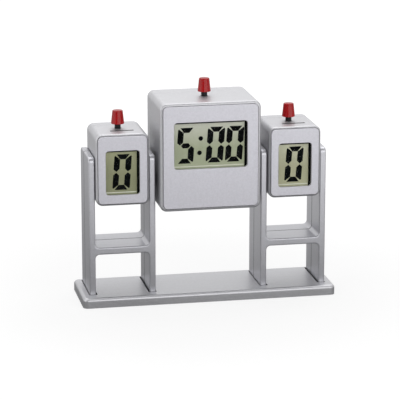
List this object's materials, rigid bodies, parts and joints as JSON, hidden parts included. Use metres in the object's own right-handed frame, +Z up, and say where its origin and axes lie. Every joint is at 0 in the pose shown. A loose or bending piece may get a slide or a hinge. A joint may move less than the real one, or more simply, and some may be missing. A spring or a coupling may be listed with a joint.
{
  "type": "scoreboard timer",
  "caption": "Table-game scoreboard: a countdown clock hung between open towers that each hold a goal counter, with displays, push buttons on top and battery doors behind, on a flat base.",
  "frame": {"origin": "on the table, under the middle of the whole object's box", "axes": "+X to the right as seen from the front with the displays, +Y to the back with the battery doors, +Z up"},
  "size_m": [0.1508, 0.0456, 0.1305],
  "materials": {
    "silver_plastic": "satin silver paint with a fine grain",
    "face_silver": "satin silver plate with a finer grain",
    "red_plastic": "glossy red",
    "black_plastic": "satin black",
    "clear_plastic": "clear window",
    "display_glass": "grey-green display glass behind a satin polariser",
    "board_green": "green solder mask",
    "screw_steel": "plain steel",
    "contact_brass": "rolled brass",
    "grey_rubber": "soft dark grey rubber"
  },
  "bodies": {
    "stand": {"base_shell": "silver_plastic", "base_cover": "black_plastic", "rubber_foot_left_front": "grey_rubber", "rubber_foot_left_back": "grey_rubber", "rubber_foot_right_front": "grey_rubber", "rubber_foot_right_back": "grey_rubber", "tower_screw_left_outer": "screw_steel", "tower_screw_left_inner": "screw_steel", "tower_screw_right_inner": "screw_steel", "tower_screw_right_outer": "screw_steel", "left_tower_front": "silver_plastic", "left_tower_rear": "silver_plastic", "right_tower_front": "silver_plastic", "right_tower_rear": "silver_plastic", "clock_face_plate": "face_silver", "clock_front_shell": "silver_plastic", "clock_rear_shell": "silver_plastic", "clock_lens": "clear_plastic", "clock_lcd": "display_glass", "clock_connector_strip": "grey_rubber", "clock_circuit_board": "board_green", "clock_switch": "black_plastic", "clock_buzzer": "contact_brass", "clock_battery": "screw_steel", "clock_battery_contact": "contact_brass", "clock_case_screw_left": "screw_steel", "clock_case_screw_right": "screw_steel", "clock_button_spring": "screw_steel", "left_counter_face_plate": "face_silver", "left_counter_front_shell": "silver_plastic", "left_counter_rear_shell": "silver_plastic", "left_counter_lens": "clear_plastic", "left_counter_lcd": "display_glass", "left_counter_circuit_board": "board_green", "left_counter_switch": "black_plastic", "left_counter_battery": "screw_steel", "left_counter_battery_contact": "contact_brass", "left_counter_case_screw_right": "screw_steel", "left_counter_button_spring": "screw_steel", "right_counter_face_plate": "face_silver", "right_counter_front_shell": "silver_plastic", "right_counter_rear_shell": "silver_plastic", "right_counter_lens": "clear_plastic", "right_counter_lcd": "display_glass", "right_counter_circuit_board": "board_green", "right_counter_switch": "black_plastic", "right_counter_battery": "screw_steel", "right_counter_battery_contact": "contact_brass", "right_counter_case_screw_right": "screw_steel", "right_counter_button_spring": "screw_steel"},
    "clock_button": {"clock_button_cap": "red_plastic", "clock_button_stem": "black_plastic"},
    "left_counter_button": {"left_counter_button_cap": "red_plastic", "left_counter_button_stem": "black_plastic"},
    "right_counter_button": {"right_counter_button_cap": "red_plastic", "right_counter_button_stem": "black_plastic"},
    "clock_door": {"clock_battery_door": "silver_plastic"},
    "left_counter_door": {"left_counter_battery_door": "silver_plastic"},
    "right_counter_door": {"right_counter_battery_door": "silver_plastic"}
  },
  "joints": [
    {"name": "clock_button_press", "type": "slide", "parent": "stand", "child": "clock_button", "axis": [0, 0, -1], "range_m": [0, 0.0015], "stiffness_N_per_m": 800, "springref_m": -0.0005, "deforming": ["clock_button_spring"]},
    {"name": "left_counter_button_press", "type": "slide", "parent": "stand", "child": "left_counter_button", "axis": [0, 0, -1], "range_m": [0, 0.0015], "stiffness_N_per_m": 800, "springref_m": -0.0005, "deforming": ["left_counter_button_spring"]},
    {"name": "right_counter_button_press", "type": "slide", "parent": "stand", "child": "right_counter_button", "axis": [0, 0, -1], "range_m": [0, 0.0015], "stiffness_N_per_m": 800, "springref_m": -0.0005, "deforming": ["right_counter_button_spring"]},
    {"name": "clock_door_lift", "type": "slide", "parent": "stand", "child": "clock_door", "axis": [0, 1, 0], "range_m": [0, 0.02]},
    {"name": "left_counter_door_lift", "type": "slide", "parent": "stand", "child": "left_counter_door", "axis": [0, 1, 0], "range_m": [0, 0.02]},
    {"name": "right_counter_door_lift", "type": "slide", "parent": "stand", "child": "right_counter_door", "axis": [0, 1, 0], "range_m": [0, 0.02]}
  ]
}
